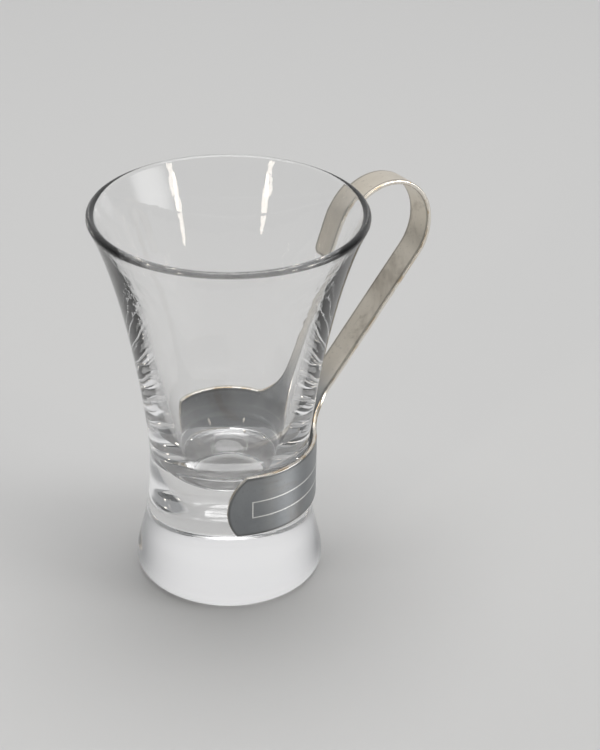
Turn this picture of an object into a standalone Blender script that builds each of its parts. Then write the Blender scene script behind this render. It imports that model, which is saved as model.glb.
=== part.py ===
# Espresso cup: a trumpet-shaped glass on a heavy solid base, carried by a
# handle stamped from one piece of spring steel. The handle's open collar clips
# round the waist of the glass; its strip climbs away from the glass and hooks
# over below the rim. The glass stands on z = 0 with its axis on Z, and the
# handle points along +X. All lengths are in metres.
import math

import bmesh
import bpy
from mathutils import Vector
from mathutils.geometry import interpolate_bezier

# Glass, outside
GLASS_HEIGHT = 0.0955
RIM_RADIUS = 0.0325
RIM_FLARE = math.radians(25)  # lean of the wall at the rim, from vertical
RIM_SWEEP = 0.021  # how far the flare of the rim reaches down the wall
WAIST_RADIUS = 0.0194
WAIST_HEIGHT = 0.032
WAIST_SWEEP_UP = 0.006
WAIST_SWEEP_DOWN = 0.020
FOOT_RADIUS = 0.0231
FOOT_SWEEP = 0.0054
FOOT_EDGE_ROUND = 0.0023

# Glass, inside
LIP_THICKNESS = 0.0020
CAVITY_FLOOR = 0.0258  # height of the middle of the floor above the table
FLOOR_DISH = 0.040  # radius of the dished floor
CAVITY_RADIUS = 0.0135  # where the wall comes down to the floor
CAVITY_ROUND = 0.011  # round between floor and wall
CAVITY_LEAN = math.radians(13)  # lean of the wall there, from vertical
CAVITY_SWEEP = 0.020

# Handle sheet and collar
SHEET = 0.0011
COLLAR_CLEARANCE = 0.00025
COLLAR_BOTTOM = 0.0200
COLLAR_TOP = 0.0362
ARM_REACH = 0.0450  # along the sheet, from the middle of the handle to the end
ARM_END_BULGE = 0.0034
ARM_END_SLANT = 0.0012

# Handle strip and hook
STRIP_WIDTH = 0.0073
STRIP_FILLET = 0.0075
STRIP_FLATTENING = 0.012  # run over which the collar's curve leaves the strip
BEND_START = 0.0314
BEND_RADIUS = 0.008
HOOK_RADIUS = 0.0129
HOOK_BELOW_RIM = 0.0022
HOOK_GAP = 0.0016  # least gap between the hook and the glass
TIP_LEAN = math.radians(18)
TIP_LENGTH = 0.0085
TIP_CORNER = 0.0018
EDGE_BREAK = 0.00018

# Smoothness of the turned glass and of the bent sheet
TURN_STEPS = 60
LIP_STEPS = 8
BOWL_POINTS = 14
BASE_POINTS = 10
FOOT_STEPS = 5
FLOOR_STEPS = 5
ROUND_STEPS = 4
HOOK_STEP = math.radians(9)
HOOK_TRIES = 40  # points of the hook that are held off the glass
STRAIGHT_STEPS = 5
CORNER_STEPS = 8
COLLAR_STEPS = 3
STRIP_COLUMNS = 6
ARM_COLUMNS = 9
WELD = 0.000005  # points closer than this are one


def clear_scene():
    for old in list(bpy.data.objects):
        bpy.data.objects.remove(old, do_unlink=True)


def add_material(name, color, roughness, metallic, transmission):
    material = bpy.data.materials.new(name)
    material.use_nodes = True
    shader = material.node_tree.nodes["Principled BSDF"]
    shader.inputs["Base Color"].default_value = (*color, 1.0)
    shader.inputs["Roughness"].default_value = roughness
    shader.inputs["Metallic"].default_value = metallic
    shader.inputs["Transmission Weight"].default_value = transmission
    shader.inputs["IOR"].default_value = 1.52
    return material


def add_object(name, mesh, material, collection):
    part = bpy.data.objects.new(name, mesh)
    part.data.materials.append(material)
    collection.objects.link(part)
    return part


def arc(centre, radius, start, end, steps):
    angles = [start + (end - start) * i / steps for i in range(steps + 1)]
    return [centre + radius * Vector((math.cos(a), math.sin(a))) for a in angles]


def smoothstep(value):
    t = min(max(value, 0.0), 1.0)
    return t * t * (3.0 - 2.0 * t)


# Points of the glass are (radius, height)
def lip_arc():
    half = LIP_THICKNESS / 2
    centre = Vector((RIM_RADIUS - half, GLASS_HEIGHT - half))
    return arc(centre, half, math.pi - RIM_FLARE, -RIM_FLARE, LIP_STEPS)


def heading(lean):
    return Vector((math.sin(lean), math.cos(lean)))


def outer_wall():
    rim = lip_arc()[-1]
    waist = Vector((WAIST_RADIUS, WAIST_HEIGHT))
    foot = Vector((FOOT_RADIUS, FOOT_EDGE_ROUND))
    bowl = interpolate_bezier(
        rim,
        rim - RIM_SWEEP * heading(RIM_FLARE),
        waist + Vector((0, WAIST_SWEEP_UP)),
        waist,
        BOWL_POINTS,
    )
    base = interpolate_bezier(
        waist,
        waist - Vector((0, WAIST_SWEEP_DOWN)),
        foot + Vector((0, FOOT_SWEEP)),
        foot,
        BASE_POINTS,
    )
    return bowl + base[1:]


def foot_edge():
    centre = Vector((FOOT_RADIUS - FOOT_EDGE_ROUND, FOOT_EDGE_ROUND))
    return arc(centre, FOOT_EDGE_ROUND, 0.0, -math.pi / 2, FOOT_STEPS)


def cavity_wall():
    rim = lip_arc()[0]
    dish = Vector((0, CAVITY_FLOOR + FLOOR_DISH))
    inset = CAVITY_RADIUS - CAVITY_ROUND
    drop = math.sqrt((FLOOR_DISH - CAVITY_ROUND) ** 2 - inset * inset)
    centre = dish + Vector((inset, -drop))
    meeting = math.atan2(-drop, inset)
    floor = arc(dish, FLOOR_DISH, -math.pi / 2, meeting, FLOOR_STEPS)
    corner = arc(centre, CAVITY_ROUND, meeting, -CAVITY_LEAN, ROUND_STEPS)
    side = interpolate_bezier(
        corner[-1],
        corner[-1] + CAVITY_SWEEP * heading(CAVITY_LEAN),
        rim - RIM_SWEEP * heading(RIM_FLARE),
        rim,
        BOWL_POINTS,
    )
    return floor + corner[1:] + side[1:]


def glass_radius(height):
    wall = [point for point in lip_arc() if point.x > RIM_RADIUS - LIP_THICKNESS / 2]
    wall += outer_wall()[1:] + foot_edge()[1:]
    for upper, lower in zip(wall, wall[1:]):
        if lower.y <= height <= upper.y:
            share = (height - lower.y) / (upper.y - lower.y)
            return lower.x + share * (upper.x - lower.x)
    return wall[0].x


def build_glass(material, collection):
    profile = cavity_wall() + lip_arc()[1:] + outer_wall()[1:] + foot_edge()[1:]
    profile.append(Vector((0, 0)))
    mesh = bpy.data.meshes.new("glass_body")
    edges = [(i, i + 1) for i in range(len(profile) - 1)]
    mesh.from_pydata([(point.x, 0, point.y) for point in profile], edges, [])
    glass = add_object("glass_body", mesh, material, collection)
    turn = glass.modifiers.new("Turn", "SCREW")
    turn.axis = "Z"
    turn.steps = TURN_STEPS
    turn.render_steps = TURN_STEPS
    turn.use_merge_vertices = True
    turn.merge_threshold = WELD
    turn.use_smooth_shade = True
    return glass


# The middle of the sheet, as seen from the side, is a chain of legs, each with
# a length and a curvature; points are (distance from the axis, height)
def collar_radius():
    widest = max(glass_radius(COLLAR_BOTTOM), glass_radius(COLLAR_TOP))
    return widest + COLLAR_CLEARANCE + SHEET / 2


def hook_centre():
    height = GLASS_HEIGHT - HOOK_BELOW_RIM - SHEET / 2 - HOOK_RADIUS
    face = arc(Vector((0, 0)), HOOK_RADIUS + SHEET / 2, math.pi / 2, math.pi - TIP_LEAN, HOOK_TRIES)
    tip = -TIP_LENGTH * heading(TIP_LEAN)
    face += [face[-1] + tip * i / HOOK_TRIES for i in range(1, HOOK_TRIES + 1)]
    reach = max(glass_radius(height + point.y) + HOOK_GAP - point.x for point in face)
    return Vector((reach, height))


def strip_legs():
    bend = Vector((collar_radius() + BEND_RADIUS, BEND_START))
    across = hook_centre() - bend
    radii = BEND_RADIUS + HOOK_RADIUS
    climb = math.atan2(across.y, across.x) - math.asin(radii / across.length)
    straight = math.sqrt(across.length_squared - radii * radii)
    turn = 1.5 * math.pi - TIP_LEAN - climb
    return (
        ((math.pi / 2 - climb) * BEND_RADIUS, -1 / BEND_RADIUS),
        (straight, 0.0),
        (turn * HOOK_RADIUS, 1 / HOOK_RADIUS),
        (TIP_LENGTH, 0.0),
    )


def along_strip(run, legs):
    place = Vector((collar_radius(), BEND_START + min(run, 0.0)))
    facing = math.pi / 2
    left = max(run, 0.0)
    for length, curvature in legs:
        step = min(left, length)
        turned = facing + step * curvature
        if curvature:
            place.x += (math.sin(turned) - math.sin(facing)) / curvature
            place.y += (math.cos(facing) - math.cos(turned)) / curvature
        else:
            place += step * Vector((math.cos(facing), math.sin(facing)))
        facing = turned
        left -= step
    return place, facing


# The flat blank is laid out by (across, run): across is the distance from the
# handle's middle line, and run is the height, counted on along the strip
def arm_end(run):
    half = (COLLAR_TOP - COLLAR_BOTTOM) / 2
    from_middle = run - COLLAR_BOTTOM - half
    radius = (half * half + ARM_END_BULGE * ARM_END_BULGE) / (2 * ARM_END_BULGE)
    bulge = radius - math.sqrt(radius * radius - from_middle * from_middle)
    return ARM_REACH - bulge - ARM_END_SLANT * from_middle / half


def strip_half_width(run, end):
    half = STRIP_WIDTH / 2
    up = run - COLLAR_TOP
    if up < STRIP_FILLET:
        rest = STRIP_FILLET - up
        return half + STRIP_FILLET - math.sqrt(STRIP_FILLET * STRIP_FILLET - rest * rest)
    near_end = max(TIP_CORNER - (end - run), 0.0)
    return half - TIP_CORNER + math.sqrt(TIP_CORNER * TIP_CORNER - near_end * near_end)


def strip_stations(legs, end):
    quarter = [math.pi / 2 * i / CORNER_STEPS for i in range(CORNER_STEPS + 1)]
    runs = [COLLAR_TOP + STRIP_FILLET * (1 - math.cos(a)) for a in quarter]
    hook_start = BEND_START + legs[0][0] + legs[1][0]
    hook_steps = math.ceil(legs[2][0] / HOOK_RADIUS / HOOK_STEP)
    straight = hook_start - runs[-1]
    runs += [hook_start - straight * i / STRAIGHT_STEPS for i in range(STRAIGHT_STEPS - 1, 0, -1)]
    runs += [hook_start + legs[2][0] * i / hook_steps for i in range(hook_steps + 1)]
    corner = [TIP_CORNER * (1 - math.sin(a)) for a in quarter[::2]]
    return runs + [end - rest for rest in corner]


def collar_stations():
    lower = (BEND_START - COLLAR_BOTTOM) / COLLAR_STEPS
    upper = (COLLAR_TOP - BEND_START) / COLLAR_STEPS
    runs = [COLLAR_BOTTOM + lower * i for i in range(COLLAR_STEPS)]
    return runs + [BEND_START + upper * i for i in range(COLLAR_STEPS + 1)]


def formed(across, run, legs):
    radius = collar_radius()
    fade = 1.0 - smoothstep((across - STRIP_WIDTH / 2) / STRIP_FILLET)
    centre, facing = along_strip(run - BEND_START, legs)
    upright = Vector((radius, run))
    place = upright.lerp(centre, fade)
    lean = (math.pi / 2 - facing) * fade
    flat_from = COLLAR_TOP + STRIP_FLATTENING
    if run >= flat_from:
        return Vector((place.x, across, place.y))
    curve = smoothstep((flat_from - run) / STRIP_FLATTENING) / radius
    sag = (1.0 - math.cos(curve * across)) / curve
    return Vector((
        place.x - sag * math.cos(lean),
        math.sin(curve * across) / curve,
        place.y + sag * math.sin(lean),
    ))


def add_patch(sheet, columns, runs, start, stop, legs):
    rows = len(runs) - 1
    grid = bmesh.ops.create_grid(sheet, x_segments=columns, y_segments=rows, size=0.5)
    for vert in grid["verts"]:
        run = runs[round((vert.co.y + 0.5) * rows)]
        across = start(run) + (stop(run) - start(run)) * (vert.co.x + 0.5)
        vert.co = formed(across, run, legs)


def build_handle(material, collection):
    legs = strip_legs()
    end = BEND_START + sum(length for length, curvature in legs)
    root = STRIP_WIDTH / 2 + STRIP_FILLET
    sheet = bmesh.new()
    collar = collar_stations()
    strip = strip_stations(legs, end)
    middle = lambda run: 0.0
    add_patch(sheet, STRIP_COLUMNS, collar, middle, lambda run: root, legs)
    add_patch(sheet, ARM_COLUMNS, collar, lambda run: root, arm_end, legs)
    add_patch(sheet, STRIP_COLUMNS, strip, middle, lambda run: strip_half_width(run, end), legs)
    bmesh.ops.remove_doubles(sheet, verts=sheet.verts, dist=WELD)
    bmesh.ops.recalc_face_normals(sheet, faces=sheet.faces)
    mesh = bpy.data.meshes.new("handle_clip")
    sheet.to_mesh(mesh)
    sheet.free()
    mesh.shade_smooth()
    handle = add_object("handle_clip", mesh, material, collection)
    mirror = handle.modifiers.new("Other half", "MIRROR")
    mirror.use_axis = (False, True, False)
    mirror.merge_threshold = WELD
    thicken = handle.modifiers.new("Sheet", "SOLIDIFY")
    thicken.thickness = SHEET
    thicken.offset = 0.0
    thicken.use_even_offset = True
    broken_edges = handle.modifiers.new("Broken edges", "BEVEL")
    broken_edges.width = EDGE_BREAK
    broken_edges.segments = 1
    broken_edges.limit_method = "ANGLE"
    broken_edges.angle_limit = math.radians(50)
    return handle


def main():
    clear_scene()
    collection = bpy.data.collections.new("espresso_cup")
    bpy.context.scene.collection.children.link(collection)
    cup = bpy.data.objects.new("cup_frame", None)
    collection.objects.link(cup)
    clear_glass = add_material("clear_glass", (0.97, 0.98, 0.98), 0.02, 0.0, 1.0)
    satin_steel = add_material("satin_steel", (0.60, 0.58, 0.55), 0.32, 1.0, 0.0)
    build_glass(clear_glass, collection).parent = cup
    build_handle(satin_steel, collection).parent = cup


main()
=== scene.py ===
import math

import bpy
from mathutils import Matrix, Vector
from mathutils.geometry import interpolate_bezier


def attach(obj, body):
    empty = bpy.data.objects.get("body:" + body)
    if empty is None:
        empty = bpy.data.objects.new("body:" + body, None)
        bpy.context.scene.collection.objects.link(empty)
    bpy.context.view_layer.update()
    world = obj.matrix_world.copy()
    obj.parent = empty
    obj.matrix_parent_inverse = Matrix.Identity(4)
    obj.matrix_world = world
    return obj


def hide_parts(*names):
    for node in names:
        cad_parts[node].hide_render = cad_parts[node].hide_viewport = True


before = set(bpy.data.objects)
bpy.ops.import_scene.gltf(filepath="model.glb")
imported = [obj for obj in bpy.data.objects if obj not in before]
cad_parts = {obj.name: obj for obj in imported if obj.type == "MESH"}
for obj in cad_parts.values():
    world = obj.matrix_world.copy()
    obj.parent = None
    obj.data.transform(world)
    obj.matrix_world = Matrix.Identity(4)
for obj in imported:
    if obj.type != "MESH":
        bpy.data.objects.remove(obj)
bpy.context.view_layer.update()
print("frame loaded:", sorted(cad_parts))


# a socket that can be used in a sum, so the shader maths below reads as maths
class Wire:
    def __init__(self, tree, socket):
        self.tree = tree
        self.socket = socket

    def node(self, kind, settings, inputs, output=0):
        made = self.tree.nodes.new(kind)
        for name, value in settings.items():
            setattr(made, name, value)
        for key, value in inputs.items():
            if isinstance(value, Wire):
                self.tree.links.new(value.socket, made.inputs[key])
            else:
                made.inputs[key].default_value = value
        return Wire(self.tree, made.outputs[output])

    def math(self, operation, first, second=0.0):
        return self.node("ShaderNodeMath", {"operation": operation}, {0: first, 1: second})

    def __add__(self, other):
        return self.math("ADD", self, other)

    def __radd__(self, other):
        return self.math("ADD", other, self)

    def __sub__(self, other):
        return self.math("SUBTRACT", self, other)

    def __rsub__(self, other):
        return self.math("SUBTRACT", other, self)

    def __mul__(self, other):
        return self.math("MULTIPLY", self, other)

    def axis(self, which):
        return self.node("ShaderNodeSeparateXYZ", {}, {0: self}, which)

    def scaled(self, sizes):
        return self.node("ShaderNodeVectorMath", {"operation": "MULTIPLY"}, {0: self, 1: sizes})

    def noise(self, scale, detail, roughness=0.5, distortion=0.0):
        return self.node("ShaderNodeTexNoise", {}, {
            "Vector": self, "Scale": scale, "Detail": detail,
            "Roughness": roughness, "Distortion": distortion})

    def between(self, low, high):  # 0 below low, 1 above high, soft between
        return self.node("ShaderNodeMapRange", {"interpolation_type": "SMOOTHSTEP"}, {
            "Value": self, "From Min": low, "From Max": high})

    def tint(self, first, second):  # first where the mask is 0, second where it is 1
        return self.node("ShaderNodeMix", {"data_type": "RGBA"}, {0: self, 6: first, 7: second}, 2)

    def bump(self, depth, strength):
        return self.node("ShaderNodeBump", {}, {"Height": self, "Distance": depth, "Strength": strength})


def startMaterial(name):
    material = bpy.data.materials.new(name)
    material.use_nodes = True
    tree = material.node_tree
    shader = tree.nodes["Principled BSDF"]
    place = tree.nodes.new("ShaderNodeTexCoord")
    return material, shader, Wire(tree, place.outputs["Object"])


def feed(shader, **sockets):
    names = {"color": "Base Color", "rough": "Roughness", "metal": "Metallic", "normal": "Normal"}
    for key, wire in sockets.items():
        wire.tree.links.new(wire.socket, shader.inputs[names[key]])


def startPiece(name):
    piece = bpy.context.object
    piece.name = name
    piece.data.name = name
    return piece


def applyAll(piece):
    bpy.ops.object.select_all(action="DESELECT")
    piece.select_set(True)
    bpy.context.view_layer.objects.active = piece
    for modifier in list(piece.modifiers):
        bpy.ops.object.modifier_apply(modifier=modifier.name)


def spread(start, end, steps):
    return [start + (end - start) * i / steps for i in range(steps + 1)]


def arcPoints(centre, radius, start, end, steps):
    turns = spread(start, end, steps)
    return [centre + radius * Vector((math.cos(turn), math.sin(turn))) for turn in turns]


def soften(value):
    t = min(max(value, 0.0), 1.0)
    return t * t * (3.0 - 2.0 * t)


# the glass: its outline is drawn once, as (radius, height), and spun about the axis
glass = {
    "height": 0.0955,
    "rimRadius": 0.0325,
    "rimFlare": math.radians(25),
    "rimSweep": 0.021,
    "waistRadius": 0.0194,
    "waistHeight": 0.032,
    "sweepUp": 0.006,
    "sweepDown": 0.020,
    "footRadius": 0.0231,
    "footSweep": 0.0054,
    "footRound": 0.0023,
    "lip": 0.0020,
    "floor": 0.0258,  # middle of the cavity's floor
    "dish": 0.040,
    "cavityRadius": 0.0135,
    "cavityRound": 0.011,
    "cavityLean": math.radians(13),
    "cavitySweep": 0.020,
    "lipSteps": 20,
    "wallSteps": 44,
    "baseSteps": 30,
    "footSteps": 10,
    "dishSteps": 22,
    "cornerSteps": 12,
    "spinSteps": 240,
    "weld": 0.000004,
    "sliver": 0.000002,
    "ior": 1.52,
    "smearHeights": (0.036, 0.060),  # where smears set in, from the waist up
    "smearRough": 0.012,
    "rippleHeights": (0.068, 0.084),  # where ripples set in, in the upper bowl
    "rippleShare": 2.6,
    "waveDepth": 0.00004,
    "waveStrength": 0.3,
}


def leaning(angle):
    return Vector((math.sin(angle), math.cos(angle)))


def glassOutline():
    g = glass
    half = g["lip"] / 2
    flare = g["rimFlare"]
    rim = Vector((g["rimRadius"] - half, g["height"] - half))
    lip = arcPoints(rim, half, math.pi - flare, -flare, g["lipSteps"])
    waist = Vector((g["waistRadius"], g["waistHeight"]))
    foot = Vector((g["footRadius"], g["footRound"]))
    bowl = interpolate_bezier(lip[-1], lip[-1] - g["rimSweep"] * leaning(flare),
                              waist + Vector((0, g["sweepUp"])), waist, g["wallSteps"])
    base = interpolate_bezier(waist, waist - Vector((0, g["sweepDown"])),
                              foot + Vector((0, g["footSweep"])), foot, g["baseSteps"])
    edge = arcPoints(foot - Vector((g["footRound"], 0)), g["footRound"], 0, -math.pi / 2, g["footSteps"])
    dish = Vector((0, g["floor"] + g["dish"]))
    inset = g["cavityRadius"] - g["cavityRound"]
    drop = math.sqrt((g["dish"] - g["cavityRound"]) ** 2 - inset ** 2)
    meeting = math.atan2(-drop, inset)
    bottom = arcPoints(dish, g["dish"], -math.pi / 2, meeting, g["dishSteps"])
    corner = arcPoints(dish + Vector((inset, -drop)), g["cavityRound"],
                       meeting, -g["cavityLean"], g["cornerSteps"])
    inside = interpolate_bezier(corner[-1], corner[-1] + g["cavitySweep"] * leaning(g["cavityLean"]),
                                lip[0] - g["rimSweep"] * leaning(flare), lip[0], g["wallSteps"])
    return bottom + corner[1:] + inside[1:] + lip[1:] + bowl[1:] + base[1:] + edge[1:] + [Vector((0, 0))]


def buildGlass():
    outline = glassOutline()
    bpy.ops.object.select_all(action="DESELECT")
    bpy.ops.mesh.primitive_plane_add(size=0.002)
    piece = startPiece("clear_cup")
    bpy.ops.object.mode_set(mode="EDIT")
    bpy.ops.mesh.select_all(action="SELECT")
    bpy.ops.mesh.merge(type="CENTER")  # one point left, to be drawn along the outline
    bpy.ops.transform.translate(value=(outline[0].x, 0, outline[0].y))
    for last, point in zip(outline, outline[1:]):
        step = point - last
        bpy.ops.mesh.extrude_region_move(TRANSFORM_OT_translate={"value": (step.x, 0, step.y)})
    bpy.ops.mesh.select_all(action="SELECT")
    bpy.ops.mesh.spin(steps=glass["spinSteps"], angle=2 * math.pi, center=(0, 0, 0), axis=(0, 0, 1))
    bpy.ops.mesh.select_all(action="SELECT")
    bpy.ops.mesh.remove_doubles(threshold=glass["weld"])
    bpy.ops.mesh.dissolve_degenerate(threshold=glass["sliver"])
    bpy.ops.mesh.select_all(action="SELECT")
    bpy.ops.mesh.normals_make_consistent(inside=False)
    bpy.ops.object.mode_set(mode="OBJECT")
    bpy.ops.object.shade_smooth()
    return piece


def clearGlass():
    material, shader, place = startMaterial("clearGlass")
    shader.inputs["Base Color"].default_value = (1.0, 1.0, 1.0, 1.0)
    shader.inputs["Transmission Weight"].default_value = 1.0
    shader.inputs["IOR"].default_value = glass["ior"]
    height = place.axis(2)
    smears = place.noise(scale=70, detail=4, roughness=0.6, distortion=0.4).between(0.52, 0.74)
    smears = smears * height.between(*glass["smearHeights"])
    feed(shader, rough=smears * glass["smearRough"])
    waves = place.scaled((1, 1, 0.45)).noise(scale=110, detail=1)
    ripples = place.scaled((1, 1, 0.7)).noise(scale=330, detail=2)
    ripples = ripples * height.between(*glass["rippleHeights"])
    surface = waves + ripples * glass["rippleShare"]
    feed(shader, normal=surface.bump(glass["waveDepth"], glass["waveStrength"]))
    return material


cup = buildGlass()
cup.data.materials.append(clearGlass())
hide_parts("glass_body")
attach(cup, "glass")
print("glass spun:", len(cup.data.polygons), "faces")


# the handle: a flat blank, laid out by across (from its middle line) and run (up
# the collar and on along the strip), rolled round the waist and bent to its hook
handle = {
    "sheet": 0.0011,
    "collarRadius": 0.02076,  # to the middle of the sheet
    "collarBottom": 0.0200,
    "collarTop": 0.0362,
    "armReach": 0.0450,
    "armBulge": 0.0034,
    "armSlant": 0.0012,
    "stripWidth": 0.0073,
    "stripFillet": 0.0075,
    "flattening": 0.012,
    "bendStart": 0.0314,
    "bendRadius": 0.008,
    "hookRadius": 0.0129,
    "hookCentre": (0.04335, 0.07985),
    "tipLean": math.radians(18),
    "tipLength": 0.0085,
    "tipCorner": 0.0018,
    "edgeRound": 0.00036,
    "edgeFlat": 0.36,  # share of the thickness left square at the sheared edge
    "edgeSteps": (0.0, 0.00004, 0.00010, 0.00020, 0.00036),
    "frameMiddle": (-0.0266, 0.0272),  # engraved on the front arm, across and up
    "frameSize": (0.0250, 0.0043),
    "frameLine": 0.0003,
    "frameFade": (0.35, 0.65),  # shares of the line's width over which it fades out
    "rootColumns": 26,
    "armColumns": 56,
    "collarRows": 34,
    "filletRows": 24,
    "stripRows": 200,
    "weld": 0.000005,
    "mapScale": 10,  # one unit of the blank's map is 0.1 m
}


def stripLegs():  # length and curvature of the bend, the climb, the hook and the tip
    h = handle
    bend = Vector((h["collarRadius"] + h["bendRadius"], h["bendStart"]))
    reach = Vector(h["hookCentre"]) - bend
    radii = h["bendRadius"] + h["hookRadius"]
    climb = math.atan2(reach.y, reach.x) - math.asin(radii / reach.length)
    straight = math.sqrt(reach.length_squared - radii * radii)
    hook = 1.5 * math.pi - h["tipLean"] - climb
    return (
        ((math.pi / 2 - climb) * h["bendRadius"], -1 / h["bendRadius"]),
        (straight, 0.0),
        (hook * h["hookRadius"], 1 / h["hookRadius"]),
        (h["tipLength"], 0.0),
    )


legs = stripLegs()
stripEnd = handle["bendStart"] + sum(length for length, curve in legs)
rootHalf = handle["stripWidth"] / 2 + handle["stripFillet"]


def alongStrip(run):
    place = Vector((handle["collarRadius"], handle["bendStart"] + min(run, 0.0)))
    facing = math.pi / 2
    left = max(run, 0.0)
    for length, curve in legs:
        step = min(left, length)
        turned = facing + step * curve
        if curve:
            place.x += (math.sin(turned) - math.sin(facing)) / curve
            place.y += (math.cos(facing) - math.cos(turned)) / curve
        else:
            place += step * Vector((math.cos(facing), math.sin(facing)))
        facing = turned
        left -= step
    return place, facing


def armEnd(run):  # the arms end in a bow that leans back towards the top
    half = (handle["collarTop"] - handle["collarBottom"]) / 2
    off = run - handle["collarBottom"] - half
    bulge = handle["armBulge"]
    radius = (half * half + bulge * bulge) / (2 * bulge)
    bowed = handle["armReach"] - radius + math.sqrt(radius * radius - off * off)
    return bowed - handle["armSlant"] * off / half


def stripHalf(run):
    half, fillet = handle["stripWidth"] / 2, handle["stripFillet"]
    rest = max(fillet - (run - handle["collarTop"]), 0.0)
    return half + fillet - math.sqrt(max(fillet * fillet - rest * rest, 0.0))


def roundTip(across, run):  # draws the square corners of the tip in to quarter circles
    corner = handle["tipCorner"]
    straight = handle["stripWidth"] / 2 - corner
    u = (abs(across) - straight) / corner
    v = (run - stripEnd) / corner + 1.0
    if u <= 0 or v <= 0:
        return across, run
    side = straight + corner * u * math.sqrt(1.0 - v * v / 2)
    return math.copysign(side, across), stripEnd + corner * (v * math.sqrt(1.0 - u * u / 2) - 1.0)


def rimGap(across, run):  # how far a point lies inside the outline of the blank
    fillet, corner = handle["stripFillet"], handle["tipCorner"]
    side, up = abs(across), run - handle["collarTop"]
    if up > fillet:
        u = side - handle["stripWidth"] / 2 + corner
        v = run - stripEnd + corner
        return corner - (math.hypot(u, v) if u > 0 and v > 0 else max(u, v))
    top = math.hypot(rootHalf - side, fillet - up) - fillet if side < rootHalf else -up
    return top if up > 0 else min(top, run - handle["collarBottom"], armEnd(run) - side)


def sheetShare(gap):  # the sheet is full inside and thins round to its edge
    rest = 1.0 - min(max(gap, 0.0) / handle["edgeRound"], 1.0)
    return handle["edgeFlat"] + (1.0 - handle["edgeFlat"]) * math.sqrt(1.0 - rest * rest)


def formed(across, run):  # from the flat blank to the bent sheet
    radius = handle["collarRadius"]
    fade = 1.0 - soften((abs(across) - handle["stripWidth"] / 2) / handle["stripFillet"])
    centre, facing = alongStrip(run - handle["bendStart"])
    place = Vector((radius, run)).lerp(centre, fade)
    lean = (math.pi / 2 - facing) * fade
    flatFrom = handle["collarTop"] + handle["flattening"]
    if run >= flatFrom:
        return Vector((place.x, across, place.y))
    curve = soften((flatFrom - run) / handle["flattening"]) / radius
    sag = (1.0 - math.cos(curve * across)) / curve
    out = place.x - sag * math.cos(lean)
    return Vector((out, math.sin(curve * across) / curve, place.y + sag * math.sin(lean)))


def fromEdges(start, end, steps):  # close together at both ends, for the rounding
    near = handle["edgeSteps"]
    low = [start + gap for gap in near]
    high = [end - gap for gap in reversed(near)]
    return low + spread(low[-1], high[0], steps)[1:-1] + high


def addBlank(columns, runs, start, stop):
    bpy.ops.object.select_all(action="DESELECT")
    lanes = [fromEdges(start(run), stop(run), columns) for run in runs]
    rows, cells = len(runs) - 1, len(lanes[0]) - 1
    bpy.ops.mesh.primitive_grid_add(x_subdivisions=cells, y_subdivisions=rows, size=1.0)
    blank = bpy.context.object
    flat = []
    for point in blank.data.vertices:
        row = round((point.co.y + 0.5) * rows)
        across, run = roundTip(lanes[row][round((point.co.x + 0.5) * cells)], runs[row])
        flat.append((across, run))
        point.co = formed(across, run)
    layout = blank.data.uv_layers[0]
    layout.name = "blank"
    for loop in blank.data.loops:
        layout.data[loop.index].uv = Vector(flat[loop.vertex_index]) * handle["mapScale"]
    gaps = [rimGap(across, run) for across, run in flat]
    blank.data.attributes.new("rimGap", "FLOAT", "POINT").data.foreach_set("value", gaps)
    sheet = blank.vertex_groups.new(name="sheet")
    for index, gap in enumerate(gaps):
        sheet.add([index], sheetShare(gap), "REPLACE")
    return blank


def stripRuns():
    top, fillet, near = handle["collarTop"], handle["stripFillet"], handle["edgeSteps"]
    turns = spread(0, math.pi / 2, handle["filletRows"])
    root = [top + fillet * (1 - math.cos(turn)) for turn in turns]
    tip = [stripEnd - gap for gap in reversed(near)]
    return root + spread(root[-1], tip[0], handle["stripRows"])[1:-1] + tip


def buildHandle():
    collar = fromEdges(handle["collarBottom"], handle["collarTop"], handle["collarRows"])
    root, arm = handle["rootColumns"], handle["armColumns"]
    blanks = [
        addBlank(root, collar, lambda run: -rootHalf, lambda run: rootHalf),
        addBlank(arm, collar, lambda run: rootHalf, armEnd),
        addBlank(arm, collar, lambda run: -armEnd(run), lambda run: -rootHalf),
        addBlank(root, stripRuns(), lambda run: -stripHalf(run), stripHalf),
    ]
    bpy.ops.object.select_all(action="DESELECT")
    for blank in blanks:
        blank.select_set(True)
    bpy.context.view_layer.objects.active = blanks[0]
    bpy.ops.object.join()
    piece = startPiece("clip_handle")
    bpy.ops.object.mode_set(mode="EDIT")
    bpy.ops.mesh.select_all(action="SELECT")
    bpy.ops.mesh.remove_doubles(threshold=handle["weld"])
    bpy.ops.mesh.normals_make_consistent(inside=False)
    bpy.ops.object.mode_set(mode="OBJECT")
    bpy.ops.object.shade_smooth()
    thick = piece.modifiers.new("Sheet", "SOLIDIFY")
    thick.thickness = handle["sheet"]
    thick.offset = 0.0
    thick.use_even_offset = True
    thick.vertex_group = "sheet"
    thick.material_offset_rim = 1  # the sheared edge
    return piece


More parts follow.
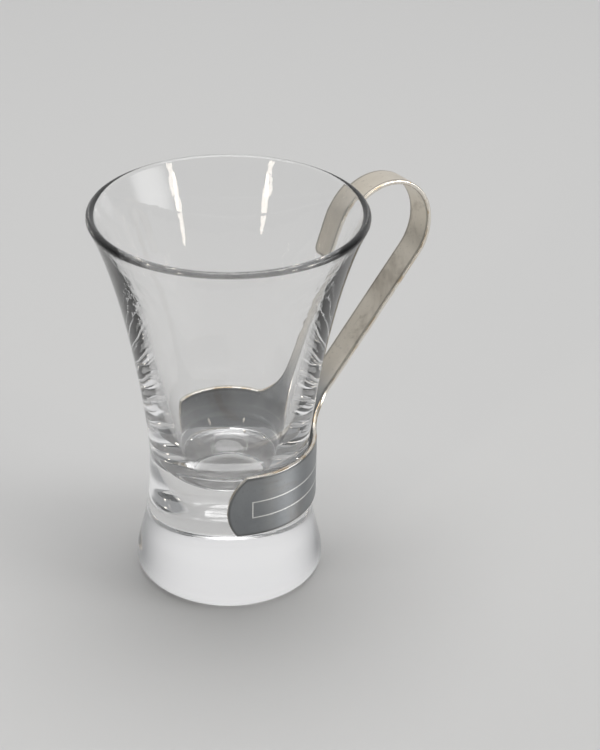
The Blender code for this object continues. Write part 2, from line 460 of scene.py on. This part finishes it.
# the steel: pairs of colours to mix by a noise, the colours of marks, lengths in millimetres
steel = {
    # painted shade and painted light: a darker, cooler copy of the steel for the collar and a lighter,
    # warmer copy for the strip
    "shadedCollar": ((0.215, 0.228, 0.240, 1), (0.385, 0.398, 0.408, 1)),
    "litStrip": ((0.66, 0.60, 0.50, 1), (0.86, 0.80, 0.70, 1)),
    "rubbed": ((0.80, 0.76, 0.69, 1), (0.58, 0.44, 0.27, 1)),  # bright, and tarnished
    "sheared": ((0.70, 0.66, 0.60, 1), (0.88, 0.84, 0.77, 1)),
    "shearedTarnish": (0.50, 0.37, 0.23, 1),
    "smudge": (0.25, 0.215, 0.175, 1),
    "stain": (0.24, 0.20, 0.155, 1),
    "speck": (0.20, 0.185, 0.165, 1),
    # painted shade where the sheet's rounded edge meets its flat face
    "creaseShade": (0.10, 0.095, 0.09, 1),
    "engraved": (0.80, 0.80, 0.78, 1),
    "shadeToLitRuns": (38, 52),  # where the collar's darker, cooler steel, painted shade, passes into the strip's lighter, warmer steel, painted light, which alone takes the stains
    "creaseShadeFrom": (0.14, 0.30),  # painted shade: the dark line inside the edge, by how far inside it is
    "creaseShadeTo": (0.45, 0.95),
    "rubbedTo": (0.06, 0.24),
    "brushing": 0.9,
    "brushTurn": 0.25,
    "grainDepth": 0.00002,
    "grainStrength": 0.5,
}


def engravedFrame(across, run):  # 1 on the line of the frame, 0 off it
    middle = [value * 1000 for value in handle["frameMiddle"]]
    half = [value * 1000 / 2 for value in handle["frameSize"]]
    beside = across.math("ABSOLUTE", across - middle[0]) - half[0]
    above = run.math("ABSOLUTE", run - middle[1]) - half[1]
    outline = run.math("ABSOLUTE", run.math("MAXIMUM", beside, above))
    low, high = [share * handle["frameLine"] * 1000 for share in handle["frameFade"]]
    return 1 - outline.between(low, high)


def satinSteel():
    material, shader, place = startMaterial("satinSteel")
    flat = place.node("ShaderNodeUVMap", {"uv_map": "blank"}, {})
    mapToMillimetres = 1000 / handle["mapScale"]
    across = flat.axis(0) * mapToMillimetres
    run = flat.axis(1) * mapToMillimetres
    gap = place.node("ShaderNodeAttribute", {"attribute_name": "rimGap"}, {}, "Fac") * 1000
    grain = place.noise(scale=1100, detail=3, roughness=0.7)
    clouds = place.noise(scale=60, detail=4, roughness=0.62, distortion=0.5)
    smudges = place.noise(scale=44, detail=4, roughness=0.6, distortion=0.9).between(0.52, 0.70)
    stains = place.noise(scale=150, detail=4, roughness=0.65, distortion=0.8).between(0.55, 0.74)
    tarnish = place.noise(scale=240, detail=3, roughness=0.6).between(0.46, 0.62)
    streaks = flat.scaled((700, 30, 1)).noise(scale=1.0, detail=3, roughness=0.6)
    # 0 on the collar's painted-shade copy of the steel, 1 on the strip's painted-light copy, where the
    # stains also lie
    stainedLitStrip = run.between(*steel["shadeToLitRuns"])
    # painted shade: a dark line just inside the sheet's edge, where its rounding meets the flat face
    creaseShade = gap.between(*steel["creaseShadeFrom"]) * (1 - gap.between(*steel["creaseShadeTo"]))
    rubbed = 1 - gap.between(*steel["rubbedTo"])
    engraved = engravedFrame(across, run)
    # painted shade on the collar and painted light on the strip, each varied in tone by a noise
    color = stainedLitStrip.tint(clouds.tint(*steel["shadedCollar"]), clouds.tint(*steel["litStrip"]))
    color = (smudges * 0.50).tint(color, steel["smudge"])
    color = (stains * stainedLitStrip * 0.38).tint(color, steel["stain"])
    color = (grain.between(0.56, 0.72) * 0.22).tint(color, steel["speck"])
    # painted shade along the edge's rounding
    color = (creaseShade * 0.50).tint(color, steel["creaseShade"])
    color = (rubbed * 0.8).tint(color, tarnish.tint(*steel["rubbed"]))
    feed(shader, color=(engraved * 0.85).tint(color, steel["engraved"]))
    feed(shader, metal=1 - engraved * 0.55)
    feed(shader, rough=0.27 + streaks * 0.08 + smudges * 0.10 + engraved * 0.25 - rubbed * 0.08)
    shader.inputs["Anisotropic"].default_value = steel["brushing"]
    shader.inputs["Anisotropic Rotation"].default_value = steel["brushTurn"]
    surface = streaks * 0.4 + grain * 0.4 - engraved * 2.0
    feed(shader, normal=surface.bump(steel["grainDepth"], steel["grainStrength"]))
    return material


def shearedEdge():
    material, shader, place = startMaterial("shearedEdge")
    grain = place.noise(scale=900, detail=3, roughness=0.6)
    tarnish = place.noise(scale=120, detail=3, roughness=0.6).between(0.50, 0.68)
    feed(shader, color=(tarnish * 0.5).tint(grain.tint(*steel["sheared"]), steel["shearedTarnish"]))
    shader.inputs["Metallic"].default_value = 1.0
    feed(shader, rough=0.18 + grain * 0.14 + tarnish * 0.10)
    feed(shader, normal=grain.bump(steel["grainDepth"], steel["grainStrength"]))
    return material


clip = buildHandle()
clip.data.materials.append(satinSteel())
clip.data.materials.append(shearedEdge())
applyAll(clip)
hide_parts("handle_clip")
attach(clip, "handle")
print("handle formed:", len(clip.data.polygons), "faces")


# studio: a pale table, soft lamps and the camera where the photographer stood;
# directions and places are as seen from the camera: right, away, up
studio = {
    "floorColor": (0.61, 0.607, 0.60, 1),
    "floorRough": 0.65,
    "floorSize": 5,
    "floorHeight": -0.0002,  # just clear of the foot
    "roomColor": (0.27, 0.275, 0.28, 1),
    "skyColor": (0.76, 0.76, 0.765, 1),  # the brighter side of the room, behind the cup
    "skyToward": (-0.10, 0.88, 0.47),
    "skyEdge": 0.2,  # cosine of the angle at which it begins
    "sideColor": (7.5, 7.5, 7.5, 1),  # a small lit patch on the right, for the band on the collar
    "sideToward": (0.94, -0.25, 0.22),
    "sideEdge": 0.93,
    "sideDimming": 0.5,  # in sharp reflections
    "lampAim": (0, 0, 0.045),
    "cameraTurn": math.radians(-33),  # the handle points away to the right
    "cameraPlace": (0.0, -0.393, 0.2786),
    "cameraDown": math.radians(29.929),
    "cameraYaw": math.radians(2.465),
    "cameraRoll": math.radians(1.096),
    "lens": 91.2,
    "sensor": 36,
}
lamps = [  # name, place, width, height, watts, color
    ("top", (0.05, 0.15, 1.1), 0.90, 0.80, 5.7, (1.0, 1.0, 1.0)),
    # these two stand in the bowl as upright streaks
    ("rightWindow", (0.77, -0.63, 0.30), 0.09, 0.32, 0.7, (1.0, 0.92, 0.80)),
    ("leftWindow", (-0.58, -0.79, 0.34), 0.09, 0.27, 0.6, (1.0, 0.92, 0.80)),
]


def toPart(place):  # from the camera's right, away and up to the part's axes
    return Matrix.Rotation(studio["cameraTurn"], 3, "Z") @ Vector(place)


def paleTable():
    material, shader, place = startMaterial("paleTable")
    shader.inputs["Base Color"].default_value = studio["floorColor"]
    shader.inputs["Roughness"].default_value = studio["floorRough"]
    return material


def glow(look, toward, edge):  # 0 outside the edge and 1 straight towards
    facing = look.node("ShaderNodeVectorMath", {"operation": "DOT_PRODUCT"},
                       {0: look, 1: toPart(toward).normalized()}, "Value")
    return facing.between(edge, 1.0)


def studioRoom():
    world = bpy.data.worlds.new("studioRoom")
    world.use_nodes = True
    tree = world.node_tree
    look = Wire(tree, tree.nodes.new("ShaderNodeTexCoord").outputs["Generated"])
    sky = glow(look, studio["skyToward"], studio["skyEdge"])
    side = glow(look, studio["sideToward"], studio["sideEdge"])
    # the patch is hidden behind glass and dimmed in it, or the foot and the bowl would glare
    through = look.node("ShaderNodeLightPath", {}, {}, "Is Transmission Ray")
    sharp = look.node("ShaderNodeLightPath", {}, {}, "Is Singular Ray")
    side = side * (1 - through) * (1 - sharp * studio["sideDimming"])
    room = side.tint(sky.tint(studio["roomColor"], studio["skyColor"]), studio["sideColor"])
    tree.links.new(room.socket, tree.nodes["Background"].inputs["Color"])
    return world


bpy.ops.object.select_all(action="DESELECT")
bpy.ops.mesh.primitive_plane_add(size=studio["floorSize"], location=(0, 0, studio["floorHeight"]))
table = startPiece("table")
table.data.materials.append(paleTable())

bpy.context.scene.world = studioRoom()
for name, place, width, height, watts, color in lamps:
    lamp = bpy.data.lights.new(name, "AREA")
    lamp.shape = "ELLIPSE"
    lamp.size = width
    lamp.size_y = height
    lamp.energy = watts
    lamp.color = color
    holder = bpy.data.objects.new(name, lamp)
    bpy.context.scene.collection.objects.link(holder)
    holder.location = toPart(place)
    aim = Vector(studio["lampAim"]) - holder.location
    holder.rotation_euler = aim.to_track_quat("-Z", "Y").to_euler()

camera = bpy.data.cameras.new("photographer")
camera.lens = studio["lens"]
camera.sensor_width = studio["sensor"]
tripod = bpy.data.objects.new("photographer", camera)
bpy.context.scene.collection.objects.link(tripod)
tripod.matrix_world = (
    Matrix.Translation(toPart(studio["cameraPlace"]))
    @ Matrix.Rotation(studio["cameraTurn"] - studio["cameraYaw"], 4, "Z")
    @ Matrix.Rotation(math.pi / 2 - studio["cameraDown"], 4, "X")
    @ Matrix.Rotation(studio["cameraRoll"], 4, "Z")
)
bpy.context.scene.camera = tripod
bpy.context.scene.view_settings.view_transform = "Standard"
bpy.context.scene.cycles.max_bounces = 32  # light turns many times inside the lip and the foot
bpy.context.scene.cycles.transmission_bounces = 32
bpy.context.scene.cycles.glossy_bounces = 16
print("studio set")

bpy.context.view_layer.update()
